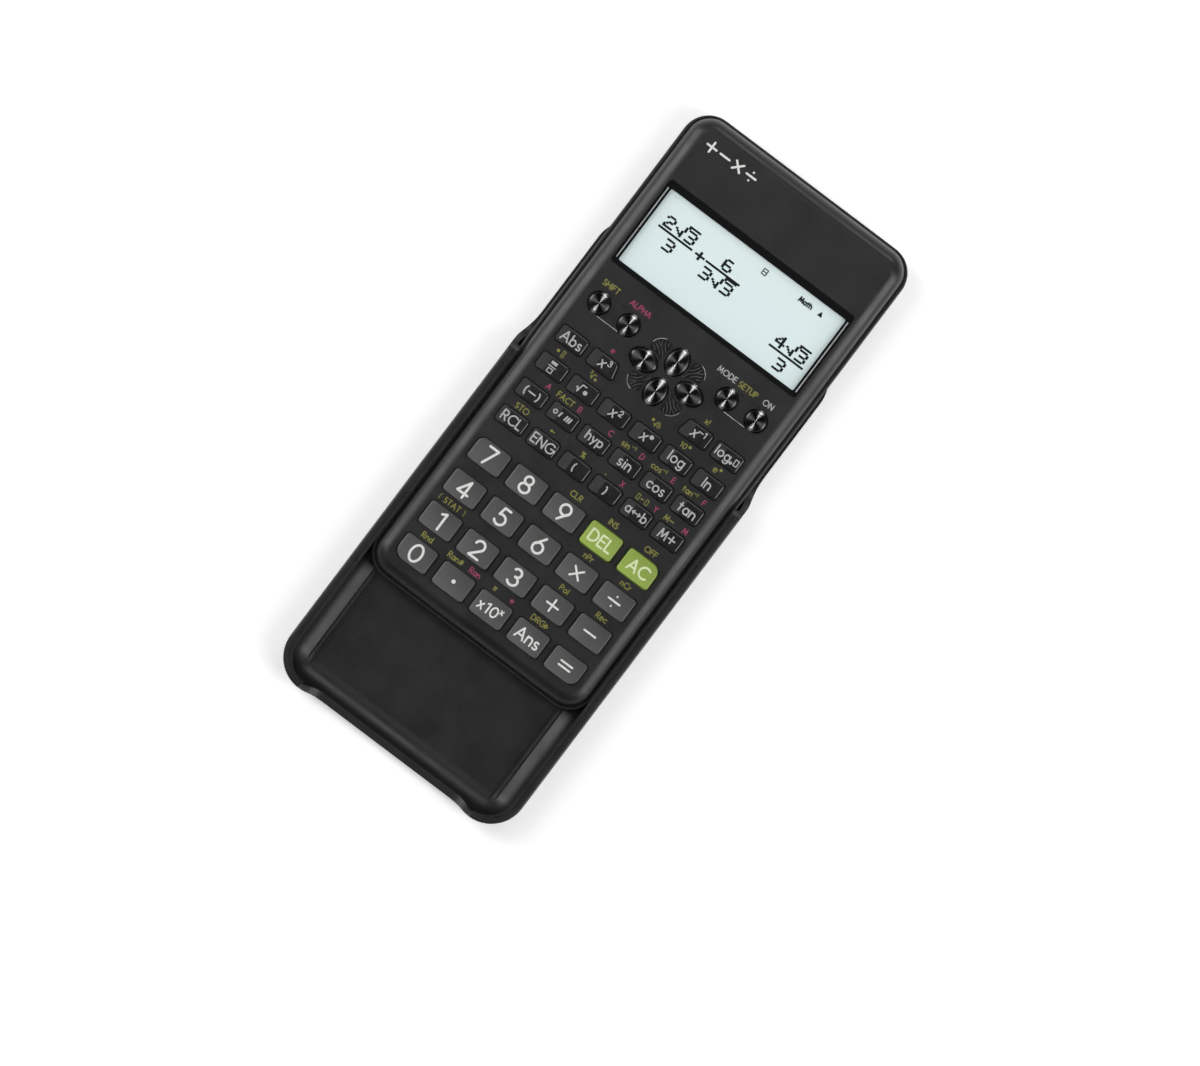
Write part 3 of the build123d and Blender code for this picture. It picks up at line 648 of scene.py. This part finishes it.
def legend_power(p, x, y, raised):
    """An x with a raised number, or a raised dot for any power."""
    p.text("x", x - 0.6, y + 0.35, 3.0, WORD_WEIGHT, 0.18)
    if raised == "dot":
        p.line([(x + 1.55, y + 1.0), (x + 1.6, y + 1.0)], 1.3)
    else:
        p.text(raised, x + 1.6, y + 1.1, 1.6, 0.34)


def legend_degrees(p, x, y):
    """Degrees, minutes and seconds."""
    p.line(arc(x - 2.7, y, 0.55, 0.55, 0, 360), 0.36)
    for offset in (-0.9, 1.0, 2.5):
        p.line([(x + offset, y + 0.75), (x + offset - 0.25, y - 0.55)], 0.5)
    p.line([(x + 1.75, y + 0.75), (x + 1.5, y - 0.55)], 0.5)


def legend_swap(p, x, y):
    """Letters a and b with a double arrow between them."""
    p.text("a", x - 2.7, y + 0.25, 2.6, 0.42).text("b", x + 2.7, y + 0.1, 2.6, 0.42)
    p.line([(x - 1.2, y), (x + 1.2, y)], 0.36)
    for side in (-1, 1):
        p.line([(x + side * 0.7, y + 0.55), (x + side * 1.3, y), (x + side * 0.7, y - 0.55)], 0.36)


def legend_log_base(p, x, y):
    """A logarithm with a filled base and an open number."""
    p.text("log", x - 1.5, y + 0.3, 2.7, 0.42)
    p.line([(x + 1.55, y - 0.75), (x + 1.6, y - 0.75)], 0.95)
    p.box(x + 3.0, y + 0.1, 1.1, 1.8, 0.3)


def legend_exponent(p, x, y):
    """Times ten to the power of x."""
    p.text("x10", x - 0.8, y - 0.1, 2.9, 0.50).text("x", x + 3.1, y + 1.4, 1.7, 0.38)


def legend_point(p, x, y):
    """The decimal point."""
    p.line([(x, y), (x + 0.05, y)], 1.25)


LEGENDS = {}
for digit in "0123456789":
    LEGENDS["key_digit_" + digit] = (digit, KEY_TEXT, KEY_WEIGHT)
LEGENDS.update({
    "key_delete": ("DEL", 3.4, 0.60), "key_all_clear": ("AC", 3.4, 0.60),
    "key_multiply": ("*", SIGN_TEXT, SIGN_STROKE), "key_divide": ("/", SIGN_TEXT, SIGN_STROKE),
    "key_plus": ("+", SIGN_TEXT, SIGN_STROKE), "key_minus": ("-", SIGN_TEXT, SIGN_STROKE),
    "key_equals": ("=", SIGN_TEXT, SIGN_STROKE),
    "key_decimal_point": legend_point, "key_answer": ("Ans", 3.4, 0.54), "key_exponent": legend_exponent,
    "key_absolute": ("Abs", 2.9, WORD_WEIGHT), "key_cube": lambda p, x, y: legend_power(p, x, y, "3"),
    "key_reciprocal": lambda p, x, y: legend_power(p, x, y, "-1"), "key_log_base": legend_log_base,
    "key_fraction": legend_fraction, "key_square_root": legend_root,
    "key_square": lambda p, x, y: legend_power(p, x, y, "2"),
    "key_power": lambda p, x, y: legend_power(p, x, y, "dot"),
    "key_log": ("log", 2.9, WORD_WEIGHT), "key_natural_log": ("ln", 2.9, WORD_WEIGHT),
    "key_negate": ("(-)", 2.7, WORD_WEIGHT), "key_degrees": legend_degrees,
    "key_hyperbolic": ("hyp", 2.6, WORD_WEIGHT), "key_sine": ("sin", 2.8, WORD_WEIGHT),
    "key_cosine": ("cos", 2.8, WORD_WEIGHT), "key_tangent": ("tan", 2.8, WORD_WEIGHT),
    "key_recall": ("RCL", 2.8, WORD_WEIGHT), "key_engineering": ("ENG", 2.8, WORD_WEIGHT),
    "key_bracket_open": ("(", 2.6, WORD_WEIGHT), "key_bracket_close": (")", 2.6, WORD_WEIGHT),
    "key_decimal_fraction": legend_swap, "key_memory_plus": ("M+", 2.7, WORD_WEIGHT),
})

WHITE_KEYS = ("key_multiply", "key_divide", "key_plus", "key_minus", "key_equals", "key_decimal_point",
              "key_answer", "key_exponent")


def print_key_legends():
    """One legend on each key that carries one, riding on that key."""
    bodies = {node: body for body, nodes in frame["record"]["behaviour"]["bodies"].items() for node in nodes}
    for key, legend in LEGENDS.items():
        x, y = centre_of(key)
        p = Print()
        if callable(legend):
            legend(p, x, y)
        else:
            words, height, weight = legend
            p.text(words, x, y + DESCENDER_RISE * (words in TAILED_WORDS), height, weight)
        colour = "white" if key.startswith("key_digit") or key in WHITE_KEYS else "silver"
        colour = "pale" if key in ("key_delete", "key_all_clear") else colour
        p.lay(key.replace("key_", "legend_"), bodies[key], PRINT[colour], key)


# ---------------------------------------------------------------- printing on the face
SMALL_TEXT = 1.62
SMALL_WEIGHT = 0.27
# Small words beside the keys: words, x, y, ink.
FACE_WORDS = [
    ("SHIFT", -27.7, 23.6, "yellow"), ("ALPHA", -17.3, 23.6, "pink"), ("MODE", 13.4, 23.6, "silver"),
    ("SETUP", 20.7, 23.6, "yellow"), ("ON", 27.8, 23.6, "silver"),
    ("e", -16.4, 9.5, "pink"), ("x!", 17.0, 9.5, "yellow"),
    ("A", -24.9, -9.6, "pink"), ("B", -13.9, -9.6, "pink"), ("C", -2.9, -9.6, "pink"),
    ("D", 8.2, -9.6, "pink"), ("E", 19.3, -9.6, "pink"), ("F", 30.1, -9.6, "pink"),
    ("sin", 2.4, -9.5, "yellow"), ("cos", 13.3, -9.5, "yellow"), ("tan", 24.3, -9.5, "yellow"),
    ("FACT", -18.9, -9.6, "yellow"), ("STO", -27.1, -19.2, "yellow"), ("<", -16.4, -19.0, "yellow"),
    ("%", -5.4, -19.2, "yellow"), (",", 2.9, -18.9, "yellow"), ("X", 8.4, -19.2, "pink"),
    ("Y", 20.2, -19.2, "pink"), ("M-", 25.0, -19.2, "yellow"), ("M", 30.6, -19.2, "pink"),
    ("CLR", 0.0, -29.6, "yellow"), ("INS", 13.2, -29.6, "yellow"), ("OFF", 26.4, -29.6, "yellow"),
    ("nPr", 13.2, -41.4, "yellow"), ("nCr", 26.4, -41.4, "yellow"),
    ("STAT", -26.6, -52.8, "yellow"), ("Pol", 13.2, -52.8, "yellow"), ("Rec", 26.4, -52.8, "yellow"),
    ("Rnd", -26.6, -64.3, "yellow"), ("Ran#", -16.6, -64.3, "yellow"), ("Ran", -9.8, -64.3, "pink"),
    ("~", -2.6, -64.2, "yellow"), ("e", 3.4, -64.2, "pink"), ("DRG>", 13.2, -64.3, "yellow"),
]


def yellow_marks(p):
    """The small template signs above the second row of function keys, and the inverse marks."""
    y = 0.15
    p.line([(-28.9, y), (-28.85, y)], 0.95)
    p.box(-27.1, y + .5, 0.8, 0.7, 0.2).box(-27.1, y - .7, 0.8, 0.7, 0.2)
    root(p, -16.6, y, 0.75, 0.24)
    p.text("3", -17.6, y + 0.9, 0.9, 0.2).line([(-15.6, y - .4), (-15.55, y - .4)], 0.85)
    p.line([(4.3, y + .6), (4.35, y + .6)], 0.85)
    root(p, 5.9, y, 0.8, 0.24)
    p.box(6.7, y - .15, 0.7, 0.8, 0.2)
    p.text("10", 15.5, y - .1, 1.5, 0.26).line([(17.4, y + .5), (17.45, y + .5)], 0.9)
    p.text("e", 26.9, y, 1.9, 0.28).line([(28.3, y + .6), (28.35, y + .6)], 0.9)
    for x in (4.9, 15.8, 26.8):
        p.text("-1", x, -8.9, 0.9, 0.2)
    p.box(14.0, -19.2, 0.8, 1.6, 0.2).box(17.0, -19.2, 0.8, 1.6, 0.2).text("<", 15.5, -19.1, 1.2, 0.2)


FRAMED_WORD_X = -26.6  # STAT has a bracket on each side
BRACKET = ((3.9, -51.9), (4.3, -52.3), (4.3, -53.6))  # how far out from the word, and y
SIGN_ROW = (-28.8, 72.2)  # the first of the large operator signs above the display
SIGN_PITCH = 4.6
SIGN_HEIGHT = 4.0
SIGN_WEIGHT = 0.62


def print_face():
    """All the printing on the front cover, one piece for each ink."""
    sheets = {name: Print() for name in ("white", "silver", "yellow", "pink")}
    for words, x, y, ink in FACE_WORDS:
        sheets[ink].text(words, x, y, SMALL_TEXT, SMALL_WEIGHT)
    yellow_marks(sheets["yellow"])
    for side in (-1, 1):
        sheets["yellow"].line([(FRAMED_WORD_X + side * out, y) for out, y in BRACKET], 0.2)
    for index, sign in enumerate("+-*/"):
        sheets["white"].text(sign, SIGN_ROW[0] + SIGN_PITCH * index, SIGN_ROW[1], SIGN_HEIGHT, SIGN_WEIGHT)
    for name, sheet in sheets.items():
        sheet.lay("face_print_" + name, "calculator", PRINT[name], "front_cover")


# ---------------------------------------------------------------- display
# Characters of five dots by seven; r is the foot of a root sign.
DOTS = {
    "2": (".###.", "#...#", "....#", "..##.", ".#...", "#....", "#####"),
    "3": ("####.", "....#", "....#", ".###.", "....#", "....#", "####."),
    "4": ("...#.", "..##.", ".#.#.", "#..#.", "#####", "...#.", "...#."),
    "6": (".###.", "#....", "#....", "####.", "#...#", "#...#", ".###."),
    "+": (".....", "..#..", "..#..", "#####", "..#..", "..#..", "....."),
    "r": ("....#", "....#", "....#", "#..#.", ".#.#.", "..##.", "...#."),
}
CELL = 6  # dots from one character to the next
BAR_DROP = 8  # rows from a fraction's top to its bar, and to its lower half
BOTTOM_DROP = 11
DOT_START = (5.7, 7.3)  # mm from the window's upper left corner to the first dot
DOT_REACH = 0.64  # half a dot's side, as a share of the pitch
DOT_GAP = 0.02  # mm between the glass and the dots
DOT_HEIGHT = 0.04
MARK_ROW = 53.1  # the small state marks' y, in mm
MARK_LIFT = 0.06


class Display:
    """Dots switched on in the display, counted from its upper left corner."""

    def __init__(self):
        self.on = set()

    def write(self, words, column, row):
        """Characters in one row, from their upper left dot."""
        for index, c in enumerate(words):
            for down, dots in enumerate(DOTS[c]):
                for across, dot in enumerate(dots):
                    if dot == "#":
                        self.on.add((column + index * CELL + across, row + down))

    def bar(self, column, row, length):
        """A line of dots to the right."""
        self.on.update((column + i, row) for i in range(length))

    def fraction(self, top, bottom, column, row):
        """Two rows of characters with a bar between them; a root's bar runs over what follows it."""
        width = max(len(top), len(bottom)) * CELL
        for words, level in ((top, row), (bottom, row + BOTTOM_DROP)):
            start = column + (width - len(words) * CELL) // 2
            self.write(words, start, level)
            if "r" in words:
                tip = start + (words.index("r") + 1) * CELL - 1
                self.bar(tip, level - 2, CELL)
                self.on.update(((tip, level - 1), (tip, level - 2)))
        self.bar(column - 1, row + BAR_DROP, width + 1)


def build_display():
    """The dark dots, and the small state marks above them."""
    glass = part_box("lcd_panel")[1].z
    window_low, window_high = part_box("display_window")
    left = window_low.x / MM + DOT_START[0]
    top = window_high.y / MM - DOT_START[1]
    shown = Display()
    shown.fraction("2r3", "3", 0, 2)
    shown.write("+", 20, 7)
    shown.fraction("6", "3r3", 27, 2)
    shown.fraction("4r3", "3", 73, 18)
    mesh = bmesh.new()
    base = glass + DOT_GAP * MM
    half_x, half_y = (DOT_REACH * pitch for pitch in DOT_PITCH)
    for column, row in sorted(shown.on):
        x = left + (column + 0.5) * DOT_PITCH[0]
        y = top - (row + 0.5) * DOT_PITCH[1]
        square = rectangle(x, y, half_x, half_y)
        height = (DOT_HEIGHT + STAGGER * ((column + 2 * row) % 5)) * MM  # overlapping dots differ in height
        prism(mesh, [(px * MM, py * MM) for px, py in square], base, base + height)
    piece("lcd_dots", mesh, SEGMENT, "calculator")
    marks = Print()
    marks.box(4.4, MARK_ROW, 1.3, 1.7, 0.3).line([(4.0, MARK_ROW), (4.8, MARK_ROW)], 0.3)
    marks.text("Math", 18.9, MARK_ROW, 1.4, 0.42)
    marks.fills.append([(23.4, 52.3), (25.0, 52.3), (24.2, 53.9)])
    marks.lay("lcd_marks", "calculator", SEGMENT, "lcd_panel", MARK_LIFT)


# The border inside the window, in mm; levels are heights above the window's underside.
OPENING = (-30.9, 30.9, 31.0, 56.0)
BORDER_EDGE = 0.15  # from the window's edge to the border's
BORDER_CORNER = 1.1
OPENING_CORNER = 0.5
BORDER_LEVELS = (0.02, 0.06)
PAINTED_GLINT_X = 31.8  # the painted reflection of the lens edge, a bright line on each side of the opening
PAINTED_GLINT_HALF = 0.20
PAINTED_GLINT_ENDS = (31.2, 55.8)
PAINTED_GLINT_LEVELS = (0.07, 0.10)
CORNER_STEPS = 6


def build_border():
    """The black border printed inside the window, and a painted reflection of the lens edge, a bright line,
    on each side of its opening.
    """
    low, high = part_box("display_window")
    edge = BORDER_EDGE * MM
    mesh = bmesh.new()
    outer = rounded(low.x + edge, high.x - edge, low.y + edge, high.y - edge, BORDER_CORNER * MM)
    inner = rounded(*(side * MM for side in OPENING), OPENING_CORNER * MM)
    ring(mesh, outer, inner, *(low.z + level * MM for level in BORDER_LEVELS))
    piece("window_border", mesh, BORDER, "calculator")
    # Painted reflection: a bright line standing on each lens edge.
    painted_glints = bmesh.new()
    bottom, top = (end * MM for end in PAINTED_GLINT_ENDS)
    for side in (-1, 1):
        x, half = side * PAINTED_GLINT_X * MM, PAINTED_GLINT_HALF * MM
        line = [(x - half, bottom), (x + half, bottom), (x + half, top), (x - half, top)]
        prism(painted_glints, line, *(low.z + level * MM for level in PAINTED_GLINT_LEVELS))
    piece("window_painted_glints", painted_glints, GLINT_PAINT, "calculator")


def rounded(x0, x1, y0, y1, radius):
    """Anticlockwise outline of a rounded rectangle."""
    outline = []
    for cx, cy, start in ((x1 - radius, y1 - radius, 0), (x0 + radius, y1 - radius, 90),
                          (x0 + radius, y0 + radius, 180), (x1 - radius, y0 + radius, 270)):
        for i in range(CORNER_STEPS + 1):
            angle = math.radians(start + 90 * i / CORNER_STEPS)
            outline.append((cx + radius * math.cos(angle), cy + radius * math.sin(angle)))
    return outline


def ring(mesh, outer, inner, low, high):
    """A closed flat ring between two outlines with as many points each."""
    loops = []
    for outline in (outer, inner):
        for level in (low, high):
            loops.append([mesh.verts.new((x, y, level)) for x, y in outline])
    outer_low, outer_high, inner_low, inner_high = loops
    count = len(outer)
    for i in range(count):
        j = (i + 1) % count
        mesh.faces.new((outer_low[i], outer_low[j], outer_high[j], outer_high[i]))
        mesh.faces.new((inner_low[j], inner_low[i], inner_high[i], inner_high[j]))
        mesh.faces.new((outer_high[i], outer_high[j], inner_high[j], inner_high[i]))
        mesh.faces.new((outer_low[j], outer_low[i], inner_low[i], inner_low[j]))


# ---------------------------------------------------------------- relief round the cursor keys
PETALS = (5.3, 4.9, 3.7)  # each petal's offset from the cursor centre, and its radius
PETAL_REACH = PETALS[2] - 0.2
RIM_RADIUS = PETALS[2] + 0.20  # the painted highlight arc lies on the face, just outside the petal
RIM_HALF = 30  # degrees to each side of the arc's middle
RIM_WEIGHT = 0.15
RIDGE_HUBS = ((1.5, 9.5), (10.0, 0.5))  # the centres of each petal's two sets of rings
RIDGE_RADII = (2.0, 12.0)
RIDGE_PITCH = 0.95
RIDGE_WEIGHT = 0.22
RIDGE_LIFT = 0.12
GROUND_LIFT = 0.02
RIM_LIFT = 0.02
KEY_MARGIN = 0.42  # kept clear round a cursor key
REACH_STEP = 0.04


def cursor_centre():
    """The middle of the four cursor keys, in mm."""
    up, down = centre_of("key_cursor_up"), centre_of("key_cursor_down")
    return (up[0] + down[0]) / 2, (up[1] + down[1]) / 2


def clear_of_cursor(x, y):
    """True where a ridge can stand without touching a cursor key or its hole."""
    for key in ("key_cursor_up", "key_cursor_down", "key_cursor_left", "key_cursor_right"):
        low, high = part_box(key)
        cx, cy = (low.x + high.x) / 2 / MM, (low.y + high.y) / 2 / MM
        half_x, half_y = (high.x - low.x) / 2 / MM + KEY_MARGIN, (high.y - low.y) / 2 / MM + KEY_MARGIN
        if ((x - cx) / half_x) ** 2 + ((y - cy) / half_y) ** 2 < 1:
            return False
    return True


def build_petals():
    """Fine crossing rings moulded in each petal, coloured lighter as a painted highlight, and a painted
    highlight arc round its outer edge.
    """
    cx, cy = cursor_centre()
    relief, trim, ground = Print(), Print(), Print()
    for side_x in (-1, 1):
        for side_y in (-1, 1):
            px, py = cx + side_x * PETALS[0], cy + side_y * PETALS[1]
            for along_x, along_y in RIDGE_HUBS:
                hub_x, hub_y = cx + side_x * along_x, cy + side_y * along_y
                radius = RIDGE_RADII[0]
                while radius < RIDGE_RADII[1]:
                    arc_inside(relief, arc(hub_x, hub_y, radius, radius, 0, 360), px, py, RIDGE_WEIGHT)
                    radius += RIDGE_PITCH
            ground.fills.append(petal_outline(px, py))
            outward = 45 * side_y
            outward = outward if side_x > 0 else 180 - outward
            # Painted highlight: a bright arc on the petal's outer edge.
            rim = arc(px, py, RIM_RADIUS, RIM_RADIUS, outward - RIM_HALF, outward + RIM_HALF)
            trim.line(rim, RIM_WEIGHT)
    ground.lay("cursor_ground", "calculator", PETAL_GROUND, "front_cover", GROUND_LIFT)
    relief.lay("cursor_relief", "calculator", RIDGE_GLINT_PAINT, "front_cover", RIDGE_LIFT)
    trim.lay("cursor_painted_glint", "calculator", GLINT_PAINT, "front_cover", RIM_LIFT)


def petal_outline(px, py):
    """A petal's disc, cut back where it meets the cursor keys."""
    outline = []
    for rim_x, rim_y in arc(0.0, 0.0, PETAL_REACH, PETAL_REACH, 0, 342):
        reach = 1.0
        while reach > 0.1 and not clear_of_cursor(px + rim_x * reach, py + rim_y * reach):
            reach -= REACH_STEP
        outline.append((px + rim_x * reach, py + rim_y * reach))
    return outline


def arc_inside(p, path, px, py, weight):
    """Adds the stretches of a path that lie inside a petal and clear of the keys."""
    run = []
    for point in path:
        if math.hypot(point[0] - px, point[1] - py) <= PETAL_REACH and clear_of_cursor(*point):
            run.append(point)
            continue
        if len(run) > 1:
            p.line(run, weight)
        run = []
    if len(run) > 1:
        p.line(run, weight)


PAIR_INSET = 1.6  # from the keys' centres to the ends of the line between them
PAIR_DROP = 3.35
PAIR_WEIGHT = 0.2
PAIR_LIFT = 0.04


def build_trim_lines():
    """A painted highlight: the bright line along the lower edge of each pair of round keys."""
    trim = Print()
    for a, b in (("key_shift", "key_alpha"), ("key_mode", "key_on")):
        (ax, ay), (bx, _) = centre_of(a), centre_of(b)
        trim.line([(ax + PAIR_INSET, ay - PAIR_DROP), (bx - PAIR_INSET, ay - PAIR_DROP)], PAIR_WEIGHT)
    trim.lay("pair_painted_glint", "calculator", GLINT_PAINT, "front_cover", PAIR_LIFT)


print_key_legends()
print_face()
build_display()
build_border()
build_petals()
build_trim_lines()


# ---------------------------------------------------------------- stage, light and camera
# Lengths in metres and powers in watts from here on.
FLOOR_HALF = 3.0
FLOOR_LEVEL = -0.0002
FLOOR_GLOW = 0.34  # brings the background up to near white
LIGHT_TARGET = (0.0, -0.02, 0.01)
# Boxes on both sides, one past the display end, and two small ones for the spun keys and the facets: name,
# direction along the object's right and top, degrees off the vertical, distance, size, power.
LIGHTS = (
    ("left_box", (-1, 0.1), 47, 1.4, (0.6, 1.4), 11.0),
    ("right_box", (1, 0.1), 47, 1.4, (0.6, 1.4), 10.6),
    ("end_box", (0, 1), 52, 1.4, (0.8, 0.4), 3.0),
    ("spine_box", (0, 1), 15, 1.6, (0.13, 0.30), 0.55),
    ("facet_box", (-1, 0), 10.5, 1.6, (0.16, 0.40), 0.22),
)
SKY_RAMP = (0.10, 0.72, 0.60, 0.07)  # between which heights the sky darkens, and its strengths there
FRAME_WIDTH = 0.340  # what the camera sees across, at the key face
VIEW_CENTRE = (0.0116, -0.0340)
VIEW_TURN = math.radians(37.03)  # the object's turn about the view axis
CAMERA_HEIGHT = 3.0
SENSOR = 36.0  # mm


def build_stage():
    """A pale floor just under the hard cover."""
    mesh = bmesh.new()
    corners = rectangle(0.0, 0.0, FLOOR_HALF, FLOOR_HALF)
    mesh.faces.new([mesh.verts.new((x, y, FLOOR_LEVEL)) for x, y in corners])
    data = bpy.data.meshes.new("floor")
    mesh.to_mesh(data)
    mesh.free()
    g = Graph("floor_paper")
    tone = g.noise(400.0, 2.0)
    paper = g.blend(tone, (0.90, 0.90, 0.90), (0.93, 0.93, 0.93))
    data.materials.append(g.finish(g.plastic(Base_Color=paper, Roughness=0.9, Specular_IOR_Level=0.1,
                                             Emission_Color=(1.0, 1.0, 1.0), Emission_Strength=FLOOR_GLOW)))
    floor = bpy.data.objects.new("floor", data)
    bpy.context.scene.collection.objects.link(floor)


def soft_light(name, direction, tilt, distance, size, power):
    """A rectangular softbox off the vertical by tilt degrees towards direction, facing the object."""
    lamp = bpy.data.lights.new(name, "AREA")
    lamp.shape = "RECTANGLE"
    lamp.size, lamp.size_y = size
    lamp.energy = power
    made = bpy.data.objects.new(name, lamp)
    bpy.context.scene.collection.objects.link(made)
    lean = math.radians(tilt)
    aim = Vector(LIGHT_TARGET)
    heading = Vector((*direction, 0.0)).normalized()
    made.location = aim + distance * (heading * math.sin(lean) + Vector((0, 0, math.cos(lean))))
    made.rotation_euler = (made.location - aim).to_track_quat("Z", "Y").to_euler()


def build_lights():
    """The softboxes."""
    for settings in LIGHTS:
        soft_light(*settings)


def build_sky():
    """A grey surround, brighter towards the horizon than overhead."""
    world = bpy.data.worlds.new("studio")
    world.use_nodes = True
    bpy.context.scene.world = world
    tree = world.node_tree
    tree.nodes.clear()
    place = tree.nodes.new("ShaderNodeTexCoord")
    split = tree.nodes.new("ShaderNodeSeparateXYZ")
    ramp = tree.nodes.new("ShaderNodeMapRange")
    sky = tree.nodes.new("ShaderNodeBackground")
    output = tree.nodes.new("ShaderNodeOutputWorld")
    tree.links.new(place.outputs["Generated"], split.inputs[0])
    tree.links.new(split.outputs["Z"], ramp.inputs[0])
    for index, number in enumerate(SKY_RAMP):
        ramp.inputs[index + 1].default_value = number
    tree.links.new(ramp.outputs[0], sky.inputs["Strength"])
    sky.inputs["Color"].default_value = (1.0, 1.0, 1.0, 1.0)
    tree.links.new(sky.outputs[0], output.inputs[0])


def build_camera():
    """A long lens straight above the key face, turned as the object was."""
    data = bpy.data.cameras.new("camera")
    data.sensor_width = SENSOR
    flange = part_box("rear_cover")[1].z
    data.lens = SENSOR * CAMERA_HEIGHT / FRAME_WIDTH
    data.clip_end = 20.0
    camera = bpy.data.objects.new("camera", data)
    bpy.context.scene.collection.objects.link(camera)
    right = Vector((math.cos(VIEW_TURN), math.sin(VIEW_TURN), 0))
    up = Vector((-math.sin(VIEW_TURN), math.cos(VIEW_TURN), 0))
    turn = Matrix((right, up, Vector((0, 0, 1)))).transposed().to_4x4()
    camera.matrix_world = Matrix.Translation((*VIEW_CENTRE, flange + CAMERA_HEIGHT)) @ turn
    bpy.context.scene.camera = camera


build_stage()
build_lights()
build_sky()
build_camera()
bpy.context.scene.view_settings.view_transform = "Standard"
